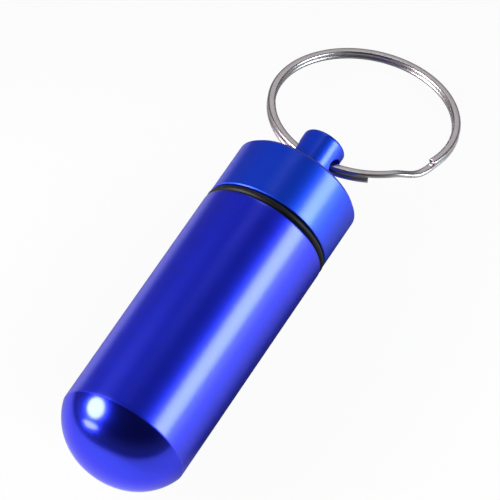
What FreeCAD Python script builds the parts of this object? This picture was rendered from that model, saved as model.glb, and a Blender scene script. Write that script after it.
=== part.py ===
# Pill fob: a turned aluminium vial and screw cap, a rubber sealing ring and a two-turn split ring.
# Millimetres. The fob lies at rest on a table: +X runs along its axis from the domed end to the
# ring, +Z is up, and the origin is on the table under the middle of the whole fob.
import FreeCAD
import Part
import math
import os
from FreeCAD import Placement, Rotation, Vector

# Vial: barrel, domed foot and bore
BARREL_D = 17.0
BARREL_LENGTH = 32.6
DOME_HEIGHT = 5.6
DOME_CREASE_DEG = 18.0
DOME_FULLNESS_SHARE = 0.54
SHOULDER_CHAMFER = 0.25
BORE_FLOOR = 4.5
BORE_CORNER_R = 1.2

# Sealing ring, squeezed between the shoulder and the cap's rim
SEAL_SPACE = 1.16
SEAL_SETBACK = 0.03
SEAL_CLEARANCE = 0.05
SEAL_CORNER_SHARE = 0.47

# Cap and its knob
CAP_SETBACK = 0.1
CAP_HEIGHT = 7.7
CAP_WALL = 1.08
CAP_ROOF = 1.6
CAP_TOP_CHAMFER = 0.5
CAP_RIM_CHAMFER = 0.1
CAP_MOUTH = 0.5
CAP_RELIEF = 0.9
CAP_RELIEF_DEPTH = 0.1
KNOB_D = 5.8
KNOB_HEIGHT = 6.74
KNOB_EDGE_R = 0.45
KNOB_BASE_R = 0.25
HOLE_EDGE_R = 0.12
HOLE_LAND = 0.88

# Neck and its thread: right hand, 60 degrees between the flanks, sized by its pitch
NECK_WALL = 0.7
NECK_END_ROOM = 1.16
NECK_LIP_CHAMFER = 0.2
THREAD_PITCH = 1.0
THREAD_DEPTH_SHARE = 0.5
THREAD_CREST_SHARE = 0.16
THREAD_RUNOUT = 0.6
THREAD_CLEARANCE = 0.12
FLANK_DEG = 30.0
THREAD_START_DEG = 37.0

# Split ring: flat wire, two turns, hung loose in the knob's cross hole
RING_MEAN_D = 23.8
WIRE_WIDTH = 1.06
WIRE_THICKNESS = 0.58
WIRE_CORNER_R = 0.25
TURN_GAP = 0.04
RING_CLEARANCE = 0.04
RING_TABLE_GAP = 0.02
RING_YAW_DEG = -3.8
RING_ROLL_DEG = -2.3
# Places round the ring, in degrees from its far point, anticlockwise seen from above
UPPER_END_DEG = 254.5
LOWER_END_DEG = 211.0
STEP_START_DEG = 226.0
STEP_DOWN_END_DEG = 245.0
STEP_END_DEG = 260.0
STEP_BULGE = 0.3
SPREAD_START_DEG = 100.0
SPREAD_FULL_DEG = 165.0
LOWER_SPREAD = 0.25
BEND_SECTIONS = 9

# How far a cutting shape runs past the face it cuts, how deep a fused ridge roots, and how near
# two sizes count as the same
OVERRUN = 0.5
ROOTING = 0.05
SAME_SIZE = 0.05

ORIGIN = Vector(0, 0, 0)
X_AXIS = Vector(1, 0, 0)
Y_AXIS = Vector(0, 1, 0)
Z_AXIS = Vector(0, 0, 1)
QUARTER_TURN = 90.0
FULL_TURN = 360.0

# Radii, from the outside in: what screws together follows the cap's wall
barrel_r = BARREL_D / 2
cap_r = barrel_r - CAP_SETBACK
seal_r = barrel_r - SEAL_SETBACK
relief_r = cap_r - CAP_WALL
groove_r = relief_r - CAP_RELIEF_DEPTH
crest_r = groove_r - THREAD_CLEARANCE
root_r = crest_r - THREAD_DEPTH_SHARE * THREAD_PITCH
socket_r = root_r + THREAD_CLEARANCE
bore_r = root_r - NECK_WALL
knob_r = KNOB_D / 2

# The ring's wire, and the cross hole that lets it swing right round
ring_r = RING_MEAN_D / 2
wire_height = (WIRE_THICKNESS + TURN_GAP) / 2
bundle_height = 2 * WIRE_THICKNESS + TURN_GAP
ring_yaw = math.radians(RING_YAW_DEG)
ring_bow = ring_r - math.sqrt(ring_r**2 - knob_r**2)
yaw_shift = knob_r * abs(math.tan(ring_yaw))
roll_shift = knob_r * abs(math.tan(math.radians(RING_ROLL_DEG)))
reach_across = WIRE_WIDTH / 2 + ring_bow + yaw_shift
reach_down = bundle_height / 2 + LOWER_SPREAD + roll_shift
swept_r = math.hypot(reach_across - WIRE_CORNER_R, reach_down - WIRE_CORNER_R) + WIRE_CORNER_R
hole_r = swept_r + RING_CLEARANCE

# Stations along the axis, from the vial's shoulder
dome_edge_x = -BARREL_LENGTH
dome_tip_x = dome_edge_x - DOME_HEIGHT
bore_floor_x = dome_tip_x + BORE_FLOOR
rim_x = SEAL_SPACE
cap_top_x = rim_x + CAP_HEIGHT
roof_x = cap_top_x - CAP_ROOF
neck_x = roof_x - NECK_END_ROOM
knob_top_x = cap_top_x + KNOB_HEIGHT
hole_x = knob_top_x - KNOB_EDGE_R - HOLE_LAND - HOLE_EDGE_R - hole_r

# The ring swings about the hole's own axis and rests its far edge on the table
pivot = X_AXIS * hole_x
to_ring_centre = Vector(ring_r * math.cos(ring_yaw), ring_r * math.sin(ring_yaw), 0)
ring_reach = to_ring_centre.x + ring_r + WIRE_WIDTH / 2
pivot_height = barrel_r - RING_TABLE_GAP
lean = math.atan2(bundle_height / 2, ring_reach)
ring_tilt = math.asin(pivot_height / math.hypot(ring_reach, bundle_height / 2)) - lean
ring_turn = Rotation(Y_AXIS, math.degrees(ring_tilt)) * Rotation(X_AXIS, RING_ROLL_DEG)

# From the axis through the shoulder to the fob's own frame on the table
far_x = pivot.x + ring_reach * math.cos(ring_tilt) + bundle_height / 2 * math.sin(ring_tilt)
to_frame = Vector(-(dome_tip_x + far_x) / 2, -to_ring_centre.y, barrel_r)


def at(x, r):
    """A point of a turned profile: x along the axis, r out from it."""
    return Vector(x, 0, r)


def lines(*points):
    return [Part.makeLine(a, b) for a, b in zip(points, points[1:])]


def arc(start, middle, end):
    return Part.Arc(start, middle, end).toShape()


def curve(start, start_pull, end_pull, end):
    """A smooth curve that leaves and meets its ends towards their pulls."""
    bezier = Part.BezierCurve()
    bezier.setPoles([start, start_pull, end_pull, end])
    return bezier.toShape()


def corner(centre, radius, from_deg, to_deg):
    """A part of a circle in the profile's plane, between two angles from +X."""
    def point(deg):
        angle = math.radians(deg)
        return centre + at(radius * math.cos(angle), radius * math.sin(angle))

    return arc(point(from_deg), point((from_deg + to_deg) / 2), point(to_deg))


def rounded_rectangle(centre, along_x, along_z, radius):
    """A closed outline in the XZ plane with rounded corners."""
    half_x = along_x / 2 - radius
    half_z = along_z / 2 - radius
    signs = ((1, 1), (-1, 1), (-1, -1), (1, -1))
    arcs = [
        corner(centre + at(sx * half_x, sz * half_z), radius, i * QUARTER_TURN, (i + 1) * QUARTER_TURN)
        for i, (sx, sz) in enumerate(signs)
    ]
    edges = []
    for i, edge in enumerate(arcs):
        follower = arcs[(i + 1) % len(arcs)]
        edges += [edge, Part.makeLine(edge.Vertexes[-1].Point, follower.Vertexes[0].Point)]
    return Part.Wire(edges)


def turned(edges):
    """The solid that a closed profile sweeps round the fob's axis."""
    face = Part.Face(Part.Wire(edges))
    return face.revolve(ORIGIN, X_AXIS, FULL_TURN)


def along_axis(radius, low_x, high_x):
    """A plain cylinder about the fob's axis."""
    return Part.makeCylinder(radius, high_x - low_x, X_AXIS * low_x, X_AXIS)


def helical_ridge(base_r, base_half, top_r, top_half, first_x, last_x):
    """A right-hand ridge round the axis, its section centred at first_x where it starts."""
    spine = Part.makeHelix(THREAD_PITCH, last_x - first_x, base_r)
    section = Part.makePolygon([
        Vector(base_r, 0, -base_half),
        Vector(top_r, 0, -top_half),
        Vector(top_r, 0, top_half),
        Vector(base_r, 0, base_half),
        Vector(base_r, 0, -base_half),
    ])
    sweep = Part.BRepOffsetAPI.MakePipeShell(Part.Wire(spine.Edges))
    sweep.setFrenetMode(True)
    sweep.add(section)
    sweep.build()
    sweep.makeSolid()
    ridge = sweep.shape()
    ridge.rotate(ORIGIN, Z_AXIS, THREAD_START_DEG)
    ridge.rotate(ORIGIN, Y_AXIS, QUARTER_TURN)
    ridge.translate(X_AXIS * first_x)
    return ridge


def ridge_half(r):
    """Half the male ridge's width along the axis at radius r."""
    slope = math.tan(math.radians(FLANK_DEG))
    return THREAD_CREST_SHARE * THREAD_PITCH / 2 + (crest_r - r) * slope


def neck_thread():
    """The male ridge, tapered off to the neck at both ends."""
    base_r = root_r - ROOTING
    ridge = helical_ridge(base_r, ridge_half(base_r), crest_r, ridge_half(crest_r), rim_x, neck_x)
    start_x = rim_x + THREAD_RUNOUT
    inner_r = base_r - ROOTING
    outer_r = crest_r + OVERRUN
    taper = outer_r - inner_r
    envelope = turned(lines(
        at(start_x, 0),
        at(start_x, inner_r),
        at(start_x + taper, outer_r),
        at(neck_x - taper, outer_r),
        at(neck_x, inner_r),
        at(neck_x, 0),
        at(start_x, 0),
    ))
    return ridge.common(envelope)


def vial_body():
    """A cup turned from bar: domed foot, plain barrel, square shoulder and threaded neck."""
    along = DOME_FULLNESS_SHARE * DOME_HEIGHT
    dome = curve(
        at(dome_tip_x, 0),
        at(dome_tip_x, DOME_FULLNESS_SHARE * barrel_r),
        at(dome_edge_x - along, barrel_r - along * math.tan(math.radians(DOME_CREASE_DEG))),
        at(dome_edge_x, barrel_r),
    )
    barrel_and_neck = lines(
        at(dome_edge_x, barrel_r),
        at(-SHOULDER_CHAMFER, barrel_r),
        at(0, barrel_r - SHOULDER_CHAMFER),
        at(0, root_r),
        at(neck_x, root_r),
        at(neck_x, bore_r + NECK_LIP_CHAMFER),
        at(neck_x - NECK_LIP_CHAMFER, bore_r),
        at(bore_floor_x + BORE_CORNER_R, bore_r),
    )
    bore_corner = corner(
        at(bore_floor_x + BORE_CORNER_R, bore_r - BORE_CORNER_R),
        BORE_CORNER_R,
        QUARTER_TURN,
        2 * QUARTER_TURN,
    )
    bore_floor = lines(
        at(bore_floor_x, bore_r - BORE_CORNER_R),
        at(bore_floor_x, 0),
        at(dome_tip_x, 0),
    )
    return turned([dome, *barrel_and_neck, bore_corner, *bore_floor]).fuse(neck_thread())


def o_ring():
    """The sealing ring as the cap squeezes it: flat on both faces, round inside and out."""
    inner_r = root_r + SEAL_CLEARANCE
    height = SEAL_SPACE - 2 * SEAL_CLEARANCE
    middle = at(SEAL_SPACE / 2, (inner_r + seal_r) / 2)
    section = rounded_rectangle(middle, height, seal_r - inner_r, SEAL_CORNER_SHARE * height)
    return turned(section.Edges)


def cap_tap():
    """The cap's threaded socket as a solid: the male ridge and its core, with clearance."""
    side = THREAD_CLEARANCE / math.cos(math.radians(FLANK_DEG))
    base_r = socket_r - ROOTING
    first_x = rim_x - THREAD_PITCH
    ridge = helical_ridge(
        base_r,
        ridge_half(base_r) + side,
        groove_r,
        ridge_half(groove_r) + side,
        first_x,
        roof_x - CAP_RELIEF / 2,
    )
    return along_axis(socket_r, first_x - THREAD_PITCH, roof_x).fuse(ridge)


def cap_blank():
    """The cap's outside: a plain drum under a knob with a rounded end."""
    drum = lines(
        at(rim_x, 0),
        at(rim_x, cap_r - CAP_RIM_CHAMFER),
        at(rim_x + CAP_RIM_CHAMFER, cap_r),
        at(cap_top_x - CAP_TOP_CHAMFER, cap_r),
        at(cap_top_x, cap_r - CAP_TOP_CHAMFER),
        at(cap_top_x, knob_r + KNOB_BASE_R),
    )
    knob_base = corner(
        at(cap_top_x + KNOB_BASE_R, knob_r + KNOB_BASE_R),
        KNOB_BASE_R,
        2 * QUARTER_TURN,
        3 * QUARTER_TURN,
    )
    knob_side = lines(
        at(cap_top_x + KNOB_BASE_R, knob_r),
        at(knob_top_x - KNOB_EDGE_R, knob_r),
    )
    knob_edge = corner(
        at(knob_top_x - KNOB_EDGE_R, knob_r - KNOB_EDGE_R), KNOB_EDGE_R, QUARTER_TURN, 0
    )
    knob_end = lines(
        at(knob_top_x, knob_r - KNOB_EDGE_R),
        at(knob_top_x, 0),
        at(rim_x, 0),
    )
    return turned([*drum, knob_base, *knob_side, knob_edge, *knob_end])


def is_hole_rim(edge):
    """Whether an edge is where the cross hole breaks through the knob's side."""
    box = edge.BoundBox
    widths = (box.XLength, box.ZLength)
    return box.YLength > SAME_SIZE and all(abs(w - 2 * hole_r) < SAME_SIZE for w in widths)


def cap():
    """A screw cap with a pierced knob; its socket is relieved at both ends of the thread."""
    hole_start = Vector(hole_x, -knob_r - OVERRUN, 0)
    hole = Part.makeCylinder(hole_r, KNOB_D + 2 * OVERRUN, hole_start, Y_AXIS)
    pierced = cap_blank().cut(hole)
    eased = pierced.makeFillet(HOLE_EDGE_R, [e for e in pierced.Edges if is_hole_rim(e)])
    mouth = along_axis(relief_r, rim_x - OVERRUN, rim_x + CAP_MOUTH)
    relief = along_axis(relief_r, roof_x - CAP_RELIEF, roof_x)
    return eased.cut(cap_tap()).cut(mouth).cut(relief)


def wire_section(deg, radius, height):
    """The flat wire's outline where it stands at one angle round the ring."""
    section = rounded_rectangle(at(radius, height), WIRE_WIDTH, WIRE_THICKNESS, WIRE_CORNER_R)
    section.rotate(ORIGIN, Z_AXIS, deg)
    return section


def wire_turn(start_deg, end_deg, height):
    """A plain stretch of one turn."""
    section = wire_section(start_deg, ring_r, height)
    return Part.Face(section).revolve(ORIGIN, Z_AXIS, end_deg - start_deg)


def smooth_step(share):
    share = min(max(share, 0), 1)
    return share * share * (3 - 2 * share)


def step_path(deg):
    """Radius and height of the wire where it steps down from the upper turn to the lower."""
    down = smooth_step((deg - STEP_START_DEG) / (STEP_DOWN_END_DEG - STEP_START_DEG))
    along = (deg - STEP_START_DEG) / (STEP_END_DEG - STEP_START_DEG)
    return ring_r + STEP_BULGE * math.sin(math.pi * along) ** 2, wire_height * (1 - 2 * down)


def lower_end_path(deg):
    """Radius and height of the lower turn where its free end springs away from the upper."""
    sprung = smooth_step((deg - SPREAD_START_DEG) / (SPREAD_FULL_DEG - SPREAD_START_DEG))
    return ring_r, -wire_height - LOWER_SPREAD * sprung


def wire_bend(path, start_deg, end_deg):
    """A stretch of wire whose radius and height follow a path of the angle."""
    spacing = (end_deg - start_deg) / (BEND_SECTIONS - 1)
    angles = [start_deg + i * spacing for i in range(BEND_SECTIONS)]
    return Part.makeLoft([wire_section(deg, *path(deg)) for deg in angles], True, False)


def split_ring():
    """The ring at rest: round once above, down the step, round again below, then hung and tilted."""
    upper = wire_turn(UPPER_END_DEG, STEP_START_DEG + FULL_TURN, wire_height)
    step = wire_bend(step_path, STEP_START_DEG, STEP_END_DEG)
    lower = wire_turn(STEP_END_DEG, SPREAD_START_DEG + FULL_TURN, -wire_height)
    lower_end = wire_bend(lower_end_path, SPREAD_START_DEG, LOWER_END_DEG)
    ring = upper.fuse([step, lower, lower_end])
    ring.Placement = Placement(pivot + ring_turn * to_ring_centre, ring_turn)
    return ring


def least_turn_gap():
    """The least room between the step and the upper turn above it, on points one degree apart."""
    under_upper = range(math.ceil(UPPER_END_DEG), math.ceil(STEP_END_DEG) + 1)
    return min(wire_height - step_path(deg)[1] - WIRE_THICKNESS for deg in under_upper)


def print_place(name, point):
    print(name, [round(v, 4) for v in point + to_frame])


os.makedirs("parts", exist_ok=True)
nodes = {"vial_body": vial_body(), "o_ring": o_ring(), "cap": cap(), "split_ring": split_ring()}
for node, shape in nodes.items():
    shape.translate(to_frame)
    print(node, "solids", len(shape.Solids), "valid", shape.isValid(), "mm3", round(shape.Volume, 2))
    shape.exportStep(os.path.join("parts", node + ".step"))
print("least gap between the ring's turns", round(least_turn_gap(), 3))
print("cross hole diameter", round(2 * hole_r, 3))
print("ring tilt below the axis, degrees", round(math.degrees(ring_tilt), 3))
print_place("shoulder centre", ORIGIN)
print_place("ring pivot in the hole", pivot)
print_place("ring centre", pivot + ring_turn * to_ring_centre)
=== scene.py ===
# The pill fob's looks: a blue anodised vial and cap, a black rubber seal and a bright split ring.
# Metres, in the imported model's own frame: +X runs along the fob from its dome to its ring.
import math

import bmesh
import bpy
from mathutils import Matrix, Vector
from mathutils.geometry import interpolate_bezier


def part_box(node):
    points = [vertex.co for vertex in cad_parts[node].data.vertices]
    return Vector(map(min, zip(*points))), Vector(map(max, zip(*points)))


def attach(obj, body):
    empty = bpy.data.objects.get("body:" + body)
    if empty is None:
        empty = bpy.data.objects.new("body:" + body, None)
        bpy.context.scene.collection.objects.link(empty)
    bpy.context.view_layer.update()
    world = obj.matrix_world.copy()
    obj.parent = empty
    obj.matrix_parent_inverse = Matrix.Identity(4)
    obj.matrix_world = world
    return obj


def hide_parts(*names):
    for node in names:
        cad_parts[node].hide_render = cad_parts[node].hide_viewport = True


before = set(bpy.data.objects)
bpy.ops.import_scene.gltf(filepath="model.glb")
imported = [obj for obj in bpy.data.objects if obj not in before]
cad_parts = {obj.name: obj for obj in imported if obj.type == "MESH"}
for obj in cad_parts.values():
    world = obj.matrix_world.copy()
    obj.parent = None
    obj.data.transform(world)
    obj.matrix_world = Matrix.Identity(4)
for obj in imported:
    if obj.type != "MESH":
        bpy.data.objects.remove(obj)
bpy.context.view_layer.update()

MM = 0.001

# The vial, in millimetres along the axis from the shoulder and out from the axis
BARREL_R = 8.5
DOME_EDGE = -32.6
DOME_TIP = -38.2
DOME_FULLNESS = 0.54
DOME_CREASE = math.radians(18)
NECK_R = 6.6
NECK_END = 6.1
BORE_R = 5.9
BORE_FLOOR = -33.7
CREASE_ROUNDING = 0.12
SHOULDER_ROUNDING = 0.25
NECK_ROUNDING = 0.15
MOUTH_ROUNDING = 0.2
BORE_FLOOR_ROUNDING = 1.2
POLISH_INSET = 0.05

# The neck's thread and the seal below it, in millimetres
THREAD_PITCH = 1.0
THREAD_CREST_R = 7.1
THREAD_CREST_WIDTH = 0.16
THREAD_FLANK = math.radians(30)
THREAD_START = math.radians(37)
THREAD_RUNOUT = 0.6
THREAD_FADE = 0.2
THREAD_ROOTING = 0.05
SEAL_SPACE = 1.16
SEAL_ROOM = 0.05
SEAL_R = 8.47

# The split ring's wire and its turns, in millimetres and in degrees from the ring's far point
RING_R = 11.9
WIRE_WIDTH = 1.06
WIRE_THICKNESS = 0.6
WIRE_FLAT = 0.45
WIRE_END_ROUNDING = 0.09
TURN_HEIGHT = 0.31
UPPER_END = 254.5
STEP_START = 586.0
STEP_DOWN = 605.0
STEP_END = 620.0
STEP_BULGE = 0.3
SPRING_START = 820.0
SPRING_FULL = 885.0
LOWER_SPRING = 0.25
LOWER_END = 931.0
RING_HOLE = 12.7625
RING_TILT = math.radians(19)
RING_ROLL = math.radians(-2.3)
RING_YAW = math.radians(-3.8)

# How finely the round shapes are divided, and in millimetres the loops that hold a surface straight
# beside an edge, what counts as the same place and what is merged
TURNED_SEGMENTS = 192
DOME_POINTS = 40
SEAL_CORNERS = 32
THREAD_STEPS_PER_TURN = 64
RING_STEPS = 300
WIRE_CORNERS = 24
HELD = 0.5
BORE_HELD = 2.0
SAME_PLACE = 0.01
MERGED = 0.001

# The finishes' patterns and how deep they go, in millimetres
TURNING_MARKS = 0.3
MARK_DEPTH = 0.003
DYE_PATCHES = 6.0
RUBBER_GRAIN = 0.25
GRAIN_DEPTH = 0.02
RUBBER_BLOOM = 3.0
PLATING_SMEARS = 2.0
DRAWN_LINES = 0.35

# The white card, in millimetres: how far the painted shade round the fob reaches, where painted light picks
# up again ahead of the dome and by how much more on the far side than the near, and the ways in which that
# painted light runs out
CARD_SIZE = 6000
SHADE_REACH = 60
SHADE_DEEPEST = 0.74
TIP_DARK, TIP_LIT = 24, 38
TIP_NEAR_SIDE, TIP_FAR_SIDE = -20, 15
NEAR_SIDE_GAIN, FAR_SIDE_GAIN = -0.42, 0.45
PAST_THE_RING = (0.86, 0.51, 0), 10, 45
BEHIND_THE_BARREL = (-0.33, 0.94, 0), 36, 66
AHEAD_OF_THE_DOME = (-1, 0, 0), 75, 150
CARD_IN_METAL = 0.6
CARD_TO_THE_EYE = 0.96

# The room: its light low down and overhead, and how far up it changes
ROOM_LOW = 0.18
ROOM_OVERHEAD = 0.035
ROOM_RISE = 0.45

# The photograph's camera
CAMERA_AZIMUTH = math.radians(-59.06)
CAMERA_ELEVATION = math.radians(60.05)
CAMERA_DISTANCE = 0.494
CAMERA_AIM = Vector((-0.00135, 0.0010, 0.0085))
CAMERA_LENS_MM = 288.0

scene = bpy.context.scene
scene.view_settings.view_transform = "Standard"

# The fob's axis, where the vial's shoulder crosses it, and the ring's own axis through its centre
vial_low, vial_high = (Vector(corner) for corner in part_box("vial_body"))
shoulder = (vial_low + vial_high) / 2
shoulder.x = vial_high.x - NECK_END * MM
fob_axis = Matrix.Translation(shoulder) @ Matrix.Rotation(math.pi / 2, 4, "Y")
ring_axis = (
    Matrix.Translation(shoulder + Vector((RING_HOLE * MM, 0, 0)))
    @ Matrix.Rotation(RING_TILT, 4, "Y")
    @ Matrix.Rotation(RING_ROLL, 4, "X")
    @ Matrix.Translation(Vector((math.cos(RING_YAW), math.sin(RING_YAW), 0)) * RING_R * MM)
)


# Modelling by hand


def select(piece, kind, wanted):
    """In edit mode, select only the vertices, edges or faces whose corners all suit."""
    bpy.ops.mesh.select_mode(type=kind)
    bpy.ops.mesh.select_all(action="DESELECT")
    mesh = bmesh.from_edit_mesh(piece.data)
    for item in {"VERT": mesh.verts, "EDGE": mesh.edges, "FACE": mesh.faces}[kind]:
        corners = [item] if kind == "VERT" else item.verts
        item.select_set(all(wanted(corner.co) for corner in corners))
    mesh.select_flush_mode()
    bmesh.update_edit_mesh(piece.data)


def from_axis(point):
    """How far a point lies from the fob's axis."""
    return math.hypot(point.y - shoulder.y, point.z - shoulder.z)


def ring_at(x, r):
    """A test for points on the circle that a turned piece has at this station."""
    def on_it(point):
        along, out = point.x - shoulder.x - x * MM, from_axis(point) - r * MM
        return abs(along) < SAME_PLACE * MM and abs(out) < SAME_PLACE * MM

    return on_it


def turned(name, outline):
    """Turn a piece as on a lathe: a disc at the first station, then an extrude and a resize for each."""
    (x, r), *stations = outline
    bpy.ops.object.select_all(action="DESELECT")
    bpy.ops.mesh.primitive_circle_add(
        vertices=TURNED_SEGMENTS,
        radius=r * MM,
        fill_type="TRIFAN",
        location=shoulder + Vector((x * MM, 0, 0)),
        rotation=(0, -math.pi / 2, 0),
    )
    piece = bpy.context.object
    piece.name = name
    bpy.ops.object.transform_apply()
    bpy.ops.object.mode_set(mode="EDIT")
    select(piece, "EDGE", ring_at(x, r))
    for next_x, next_r in stations:
        bpy.ops.mesh.extrude_region_move(TRANSFORM_OT_translate={"value": ((next_x - x) * MM, 0, 0)})
        bpy.ops.transform.resize(
            value=(1, next_r / r, next_r / r),
            center_override=shoulder + Vector((next_x * MM, 0, 0)),
        )
        x, r = next_x, next_r
    bpy.ops.mesh.extrude_region_move()
    bpy.ops.mesh.merge(type="CENTER")
    return piece


def finish_mesh(sharp_from):
    """Close the mesh up, turn its faces outwards and shade it smooth below this many degrees."""
    bpy.ops.mesh.select_all(action="SELECT")
    bpy.ops.mesh.remove_doubles(threshold=MERGED * MM)
    bpy.ops.mesh.normals_make_consistent(inside=False)
    bpy.ops.object.mode_set(mode="OBJECT")
    bpy.ops.object.shade_smooth_by_angle(angle=math.radians(sharp_from))


def start_section(name, corners, width, height):
    """Lay out the section that a sweep starts from: a filled outline in the XZ plane."""
    bpy.ops.object.select_all(action="DESELECT")
    bpy.ops.mesh.primitive_circle_add(
        vertices=corners,
        radius=MM / 2,
        fill_type="NGON",
        rotation=(math.pi / 2, math.pi / corners, 0),
    )
    piece = bpy.context.object
    piece.name = name
    bpy.ops.object.transform_apply()
    bpy.ops.object.mode_set(mode="EDIT")
    bpy.ops.transform.resize(value=(width, 1, height))
    return piece


def sweep(piece, stations, axis):
    """Sweep a section round an axis: an extrude with its shift, then a turn, for each (angle, out, up)."""
    angle, out, up = stations[0]
    bpy.ops.mesh.select_all(action="SELECT")
    bpy.ops.transform.translate(value=(out * MM, 0, up * MM))
    bpy.ops.transform.rotate(value=-angle, orient_axis="Z", center_override=(0, 0, 0))
    for next_angle, next_out, next_up in stations[1:]:
        aside = (next_out - out) * MM
        shift = (aside * math.cos(angle), aside * math.sin(angle), (next_up - up) * MM)
        bpy.ops.mesh.extrude_region_move(TRANSFORM_OT_translate={"value": shift})
        bpy.ops.transform.rotate(value=angle - next_angle, orient_axis="Z", center_override=(0, 0, 0))
        angle, out, up = next_angle, next_out, next_up
    bpy.ops.object.mode_set(mode="OBJECT")
    piece.matrix_world = axis
    bpy.ops.object.transform_apply()
    bpy.ops.object.mode_set(mode="EDIT")


def share(value, start, end):
    """How far a value has come from the start to the end, from none to all."""
    return min(max((value - start) / (end - start), 0), 1)


def ease(value, start, end):
    """The same, slow at both ends."""
    come = share(value, start, end)
    return come * come * (3 - 2 * come)


# The pieces


def model_vial():
    """The cup: dome, barrel, shoulder, neck and bore."""
    near_edge = DOME_FULLNESS * (DOME_EDGE - DOME_TIP)
    dome = interpolate_bezier(
        Vector((DOME_TIP, 0)),
        Vector((DOME_TIP, DOME_FULLNESS * BARREL_R)),
        Vector((DOME_EDGE - near_edge, BARREL_R - near_edge * math.tan(DOME_CREASE))),
        Vector((DOME_EDGE, BARREL_R)),
        DOME_POINTS,
    )
    cup = [
        (DOME_EDGE + HELD, BARREL_R),
        (-HELD, BARREL_R),
        (0, BARREL_R),
        (0, NECK_R),
        (NECK_END - HELD, NECK_R),
        (NECK_END, NECK_R),
        (NECK_END, BORE_R),
        (NECK_END - HELD, BORE_R),
        (BORE_FLOOR + BORE_HELD, BORE_R),
        (BORE_FLOOR, BORE_R),
    ]
    vial = turned("vial", [*dome[1:], *cup])
    for x, r, rounding, segments in (
        (DOME_EDGE, BARREL_R, CREASE_ROUNDING, 2),
        (0, BARREL_R, SHOULDER_ROUNDING, 5),
        (NECK_END, NECK_R, NECK_ROUNDING, 3),
        (NECK_END, BORE_R, MOUTH_ROUNDING, 3),
        (BORE_FLOOR, BORE_R, BORE_FLOOR_ROUNDING, 8),
    ):
        select(vial, "EDGE", ring_at(x, r))
        bpy.ops.mesh.bevel(offset=rounding * MM, segments=segments)
    finish_mesh(sharp_from=35)
    return vial


def model_thread():
    """The neck's ridge, which sinks into the neck at both ends."""
    first, last = SEAL_SPACE + THREAD_RUNOUT, NECK_END - THREAD_RUNOUT
    steps = round((last - first) / THREAD_PITCH * THREAD_STEPS_PER_TURN)
    depth = THREAD_CREST_R - NECK_R + THREAD_ROOTING
    stations = []
    for i in range(steps + 1):
        up = first + (last - first) * i / steps
        risen = ease(up, first, first + THREAD_FADE) * ease(up, last, last - THREAD_FADE)
        turn = THREAD_START + math.tau * (up - SEAL_SPACE) / THREAD_PITCH
        stations.append((turn, THREAD_CREST_R - depth / 2 - depth * (1 - risen), up))
    foot = THREAD_CREST_WIDTH + 2 * depth * math.tan(THREAD_FLANK)
    # A round of four corners is a square, whose sides are its width over the root of two
    widen = math.sqrt(2)
    thread = start_section("thread", 4, widen * depth, widen * foot)
    select(thread, "EDGE", lambda point: point.x > 0)
    bpy.ops.transform.resize(value=(1, 1, THREAD_CREST_WIDTH / foot))
    sweep(thread, stations, fob_axis)
    finish_mesh(sharp_from=30)
    return thread


def join_thread(vial, thread):
    """Join the ridge to the neck, as one piece of metal."""
    bpy.ops.object.select_all(action="DESELECT")
    bpy.context.view_layer.objects.active = vial
    vial.select_set(True)
    bpy.ops.object.modifier_add(type="BOOLEAN")
    union = vial.modifiers[-1]
    union.operation = "UNION"
    union.object = thread
    bpy.ops.object.modifier_apply(modifier=union.name)
    bpy.data.objects.remove(thread)


def model_seal():
    """The rubber ring, squeezed flat between the shoulder and the cap's rim."""
    half = (SEAL_SPACE - 2 * SEAL_ROOM) / 2
    middle = NECK_R + SEAL_ROOM + half
    bpy.ops.object.select_all(action="DESELECT")
    bpy.ops.mesh.primitive_torus_add(
        major_radius=middle * MM,
        minor_radius=half * MM,
        major_segments=TURNED_SEGMENTS,
        minor_segments=SEAL_CORNERS,
        location=shoulder + Vector((SEAL_SPACE / 2 * MM, 0, 0)),
        rotation=(0, math.pi / 2, 0),
    )
    seal = bpy.context.object
    seal.name = "seal"
    bpy.ops.object.transform_apply()
    bpy.ops.object.mode_set(mode="EDIT")
    select(seal, "VERT", lambda point: from_axis(point) > (middle + SAME_PLACE) * MM)
    wider = SEAL_R / (middle + half)
    bpy.ops.transform.resize(value=(1, wider, wider), center_override=shoulder)
    finish_mesh(sharp_from=60)
    return seal


def ring_path(deg):
    """The wire's turn, how far out it runs and how high, from the upper cut end down the step to the
    lower one."""
    down = ease(deg, STEP_START, STEP_DOWN)
    bulge = math.sin(math.pi * share(deg, STEP_START, STEP_END)) ** 2
    sprung = ease(deg, SPRING_START, SPRING_FULL)
    out = RING_R + STEP_BULGE * bulge
    return math.radians(deg), out, TURN_HEIGHT * (1 - 2 * down) - LOWER_SPRING * sprung


def model_ring():
    """Flattened wire, wound twice with a step between the turns, hung in the knob, its cut ends eased."""
    degrees = [UPPER_END + (LOWER_END - UPPER_END) * i / RING_STEPS for i in range(RING_STEPS + 1)]
    ring = start_section("ring", WIRE_CORNERS, WIRE_WIDTH - WIRE_FLAT, WIRE_THICKNESS)
    for side in (1, -1):
        select(ring, "VERT", lambda point: point.x * side > 0)
        bpy.ops.transform.translate(value=(side * WIRE_FLAT / 2 * MM, 0, 0))
    sweep(ring, [ring_path(deg) for deg in degrees], ring_axis)
    bpy.ops.mesh.select_face_by_sides(number=WIRE_CORNERS, extend=False)
    bpy.ops.mesh.bevel(offset=WIRE_END_ROUNDING * MM, segments=3)
    finish_mesh(sharp_from=40)
    return ring


vial = model_vial()
join_thread(vial, model_thread())
seal = model_seal()
ring = model_ring()
for piece, body, node, slot in (
    (vial, "vial", "vial_body", "anodised_vial"),
    (seal, "seal", "o_ring", "seal_rubber"),
    (ring, "ring", "split_ring", "ring_steel"),
):
    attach(piece, body)
    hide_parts(node)


# Finishes


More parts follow.
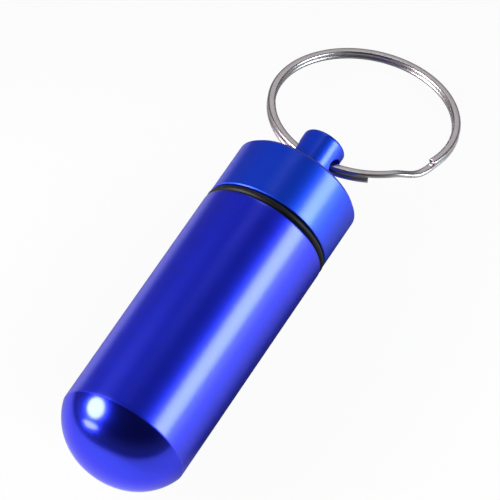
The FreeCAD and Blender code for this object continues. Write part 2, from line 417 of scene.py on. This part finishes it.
def linear(hex_colour):
    """An sRGB hex colour as the linear RGBA that shaders take."""
    def channel(pair):
        value = int(pair, 16) / 255
        return value / 12.92 if value <= 0.04045 else ((value + 0.055) / 1.055) ** 2.4

    return (*(channel(hex_colour[i:i + 2]) for i in (1, 3, 5)), 1.0)


def feed(tree, made, inputs):
    """Give a node's inputs, by name or number, a value or another node's output."""
    for name, value in inputs.items():
        if isinstance(value, bpy.types.NodeSocket):
            tree.links.new(value, made.inputs[name])
        else:
            made.inputs[name].default_value = value


def add(tree, kind, inputs=None, **settings):
    """Add one node with its settings and inputs, and give back its first live output."""
    made = tree.nodes.new("ShaderNode" + kind)
    for name, value in settings.items():
        setattr(made, name, value)
    feed(tree, made, inputs or {})
    return next((out for out in made.outputs if out.enabled), made)


def new_finish(name):
    """A new material, with its tree and its shader."""
    material = bpy.data.materials.new(name)
    material.use_nodes = True
    return material, material.node_tree, material.node_tree.nodes["Principled BSDF"]


def lines_round(tree, place, axis, spacing):
    """Fine lines that run round an axis, this many millimetres apart."""
    centred = add(
        tree,
        "Mapping",
        {"Vector": place, "Location": axis.to_translation(), "Rotation": axis.to_euler()},
        vector_type="TEXTURE",
    )
    split = add(tree, "SeparateXYZ", {0: centred}).node
    across = add(tree, "CombineXYZ", {"X": split.outputs["X"], "Y": split.outputs["Y"]})
    out = add(tree, "VectorMath", {0: across}, operation="LENGTH")
    section = add(tree, "CombineXYZ", {"X": split.outputs["Z"], "Y": out})
    return add(
        tree,
        "TexNoise",
        {"Vector": section, "Scale": 1 / (spacing * MM), "Detail": 3.0},
        noise_dimensions="2D",
    )


def anodised(name, dark_dye, light_dye, satin, gloss, clear):
    """Anodised aluminium off the lathe: the dyed oxide glows deep blue from the metal below, its clear
    face adds a white gloss, and fine turning marks run round the axis."""
    finish, tree, shader = new_finish(name)
    place = add(tree, "TexCoord").node.outputs["Object"]
    # Real marks are about 0.05 mm apart, too fine to show, so they are drawn coarser
    marks = lines_round(tree, place, fob_axis, TURNING_MARKS)
    # The more polished the face, the less its marks show
    uneven = 0.25 * satin**3
    # The dye takes a little unevenly, in patches
    patches = add(tree, "TexNoise", {"Vector": place, "Scale": 1 / (DYE_PATCHES * MM), "Detail": 2.0})
    dyes = {0: patches, 6: linear(dark_dye), 7: linear(light_dye)}
    feed(tree, shader, {
        "Base Color": add(tree, "Mix", dyes, data_type="RGBA"),
        "Metallic": 1.0,
        "Specular Tint": linear(light_dye),
        "Roughness": add(tree, "MapRange", {
            "Value": marks,
            "From Min": 0.3,
            "From Max": 0.7,
            "To Min": satin - uneven,
            "To Max": satin + uneven,
        }),
        "Normal": add(tree, "Bump", {
            "Height": marks, "Strength": 1.5 * satin**4, "Distance": MARK_DEPTH * MM,
        }),
        "Coat Weight": clear,
        "Coat Roughness": gloss,
        "Coat IOR": 1.6,
    })
    return finish


barrel_finish = anodised(
    "blue anodised aluminium, satin", "#1C2CF6", "#2234FC", satin=0.45, gloss=0.25, clear=1.0
)
dome_finish = anodised(
    "blue anodised aluminium, polished", "#1C2CF6", "#2234FC", satin=0.23, gloss=0.15, clear=0.7
)
cap_finish = anodised(
    "blue anodised aluminium, satin, greener dye", "#0E46F4", "#1150FA", satin=0.49, gloss=0.26, clear=0.85
)

# Nitrile rubber, moulded: near black, with a dull sheen, a faint grain and a paler bloom here and there
rubber, tree, shader = new_finish("black nitrile rubber")
place = add(tree, "TexCoord").node.outputs["Object"]
grain = add(tree, "TexNoise", {"Vector": place, "Scale": 1 / (RUBBER_GRAIN * MM), "Detail": 3.0})
bloom = add(tree, "TexNoise", {"Vector": place, "Scale": 1 / (RUBBER_BLOOM * MM), "Detail": 2.0})
feed(tree, shader, {
    "Base Color": add(tree, "Mix", {0: bloom, 6: linear("#0B0A0A"), 7: linear("#191614")}, data_type="RGBA"),
    "Roughness": add(tree, "MapRange", {"Value": grain, "To Min": 0.38, "To Max": 0.6}),
    "Specular IOR Level": 0.27,
    "Normal": add(tree, "Bump", {"Height": grain, "Strength": 0.3, "Distance": GRAIN_DEPTH * MM}),
})

# Spring steel, nickel plated: bright and faintly warm, its gloss drawn out in fine lines along the wire
steel, tree, shader = new_finish("nickel plated spring steel")
place = add(tree, "TexCoord").node.outputs["Object"]
smears = add(tree, "TexNoise", {"Vector": place, "Scale": 1 / (PLATING_SMEARS * MM), "Detail": 3.0})
# Real lines are a few hundredths of a millimetre apart, too fine to show, so they are drawn coarser
drawn = lines_round(tree, place, ring_axis, DRAWN_LINES)
feed(tree, shader, {
    "Base Color": add(tree, "Mix", {0: smears, 6: linear("#C4BCC1"), 7: linear("#D8D0D4")}, data_type="RGBA"),
    "Metallic": 1.0,
    "Roughness": add(tree, "MapRange", {"Value": drawn, "To Min": 0.24, "To Max": 0.34}),
})

for piece, finish in (
    (vial, barrel_finish),
    (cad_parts["cap"], cap_finish),
    (seal, rubber),
    (ring, steel),
):
    piece.data.materials.clear()
    piece.data.materials.append(finish)

# The dome is polished, from just past its crease
bpy.ops.object.select_all(action="DESELECT")
bpy.context.view_layer.objects.active = vial
vial.data.materials.append(dome_finish)
vial.active_material_index = 1
bpy.ops.object.mode_set(mode="EDIT")
select(vial, "FACE", lambda point: point.x < shoulder.x + (DOME_EDGE - POLISH_INSET) * MM)
bpy.ops.object.material_slot_assign()
bpy.ops.object.mode_set(mode="OBJECT")


# The card, the room and the lamps


bpy.ops.object.select_all(action="DESELECT")
bpy.ops.mesh.primitive_plane_add(size=CARD_SIZE * MM)
floor = bpy.context.object
floor.name = "floor"

# White card: plain white to the eye. In the metal it shows painted shade round the fob, painted light again
# ahead of the dome, and painted dark further off, so that the fob's edges stand out against it
card, tree, shader = new_finish("white card")
tree.nodes.remove(shader)
place = add(tree, "TexCoord").node.outputs["Object"]
split = add(tree, "SeparateXYZ", {0: place}).node
# Painted shadow: the card is painted darker where the fob occludes it, out to SHADE_REACH
sky = add(tree, "AmbientOcclusion", {"Distance": SHADE_REACH * MM}, samples=8).node.outputs["AO"]
painted_ao_light = add(tree, "MapRange", {"Value": sky, "From Min": SHADE_DEEPEST, "From Max": 1.0})
# Painted pool of light ahead of the dome, painted brighter on the far side than the near
tip = add(tree, "MapRange", {
    "Value": split.outputs["X"], "From Min": -TIP_DARK * MM, "From Max": -TIP_LIT * MM,
})
gain = add(tree, "MapRange", {
    "Value": split.outputs["Y"],
    "From Min": TIP_NEAR_SIDE * MM,
    "From Max": TIP_FAR_SIDE * MM,
    "To Min": NEAR_SIDE_GAIN,
    "To Max": FAR_SIDE_GAIN,
})
gain = add(tree, "Math", {0: tip, 1: gain, 2: 1.0}, operation="MULTIPLY_ADD")
lit = add(tree, "Math", {0: painted_ao_light, 1: tip}, operation="MAXIMUM")
lit = add(tree, "Math", {0: lit, 1: gain}, operation="MULTIPLY")
# Painted light runs out along each of these ways, and the card is painted darker beyond
for way, full, spent in (PAST_THE_RING, BEHIND_THE_BARREL, AHEAD_OF_THE_DOME):
    along = add(tree, "VectorMath", {0: place, 1: way}, operation="DOT_PRODUCT")
    left = add(tree, "MapRange", {
        "Value": along, "From Min": full * MM, "From Max": spent * MM, "To Min": 1.0, "To Max": 0.0,
    })
    lit = add(tree, "Math", {0: lit, 1: left}, operation="MULTIPLY")
rays = add(tree, "LightPath").node.outputs
# In the metal the card glows, with the painted light and shade above
mirrored = add(tree, "Math", {0: rays["Is Glossy Ray"], 1: rays["Is Transmission Ray"]}, operation="ADD")
mirrored = add(tree, "Math", {0: mirrored, 1: lit}, operation="MULTIPLY")
mirrored = add(tree, "Math", {0: mirrored, 1: CARD_IN_METAL}, operation="MULTIPLY")
to_eye = {0: rays["Is Camera Ray"], 1: CARD_TO_THE_EYE, 2: mirrored}
seen = add(tree, "Math", to_eye, operation="MULTIPLY_ADD")
glow = add(tree, "Emission", {"Color": linear("#FFFFFF"), "Strength": 1.0})
# The card's own colour carries the painted shade too: grey where painted shaded, white where painted lit
shade = add(tree, "Mix", {0: lit, 6: linear("#686868"), 7: linear("#F2F2F2")}, data_type="RGBA")
paint = add(tree, "BsdfDiffuse", {"Color": shade})
feed(tree, tree.nodes["Material Output"], {"Surface": add(tree, "MixShader", {0: seen, 1: paint, 2: glow})})
floor.data.materials.append(card)

# The room: pale low down and dark overhead
world = bpy.data.worlds.new("room")
world.use_nodes = True
scene.world = world
tree = world.node_tree
direction = add(tree, "TexCoord").node.outputs["Generated"]
level = add(tree, "MapRange", {
    "Value": add(tree, "SeparateXYZ", {0: direction}).node.outputs["Z"],
    "From Min": 0.0,
    "From Max": ROOM_RISE,
    "To Min": ROOM_LOW,
    "To Max": ROOM_OVERHEAD,
})
feed(tree, tree.nodes["Background"], {"Color": linear("#FFFFFF"), "Strength": level})


def softbox(name, place, aim, size, radiance, shape="RECTANGLE", colour="#FFFFFF", turn=0):
    """A flat lamp that faces a point. Its radiance, with white as one, is a rectangle's: an ellipse of that
    size is a quarter brighter. The turn is about the way it faces."""
    lamp = bpy.data.lights.new(name, "AREA")
    lamp.shape = shape
    lamp.color = linear(colour)[:3]
    width, height = size
    lamp.size, lamp.size_y = width, height
    lamp.energy = radiance * math.pi * width * height
    holder = bpy.data.objects.new(name, lamp)
    scene.collection.objects.link(holder)
    holder.location = place
    holder.rotation_euler = (Vector(place) - Vector(aim)).to_track_quat("Z", "Y").to_euler()
    holder.rotation_euler.rotate_axis("Z", turn)


# The key draws the broad streak along the barrel and the cap
softbox("key", (0.237, -0.480, 0.272), (0.237, 0, 0), (0.3, 0.26), radiance=9.9, colour="#EAFFFF")
# The window and its sill give the dome its two glints, the sill's aslant
softbox("window", (-0.276, 0.414, 0.270), (0, 0, 0), (0.31, 0.31), radiance=13.5, shape="ELLIPSE")
softbox(
    "sill",
    (-0.426, 0.356, 0.073),
    (0, 0, 0.01),
    (0.25, 0.085),
    radiance=8.0,
    shape="ELLIPSE",
    turn=math.radians(37),
)
# The rest are faint: the far side, a streak along the top, the ring's upper face and the near edge
softbox("back", (0.035, 0.532, 0.455), (0, 0, 0), (0.35, 0.35), radiance=1.0)
softbox("overhead", (0.496, 0.176, 0.600), (0, 0, 0), (0.16, 0.16), radiance=4.0)
softbox("fill", (0.596, 0.218, 0.294), (0, 0, 0), (0.40, 0.30), radiance=0.7)
softbox("reflector", (0.237, -0.560, 0.060), (0.237, 0, 0.06), (0.4, 0.12), radiance=1.5)

camera = bpy.data.objects.new("camera", bpy.data.cameras.new("camera"))
scene.collection.objects.link(camera)
scene.camera = camera
camera.data.lens = CAMERA_LENS_MM
flat = math.cos(CAMERA_ELEVATION)
camera.location = CAMERA_AIM + CAMERA_DISTANCE * Vector((
    flat * math.sin(CAMERA_AZIMUTH), -flat * math.cos(CAMERA_AZIMUTH), math.sin(CAMERA_ELEVATION)
))
camera.rotation_euler = (math.pi / 2 - CAMERA_ELEVATION, 0, CAMERA_AZIMUTH)
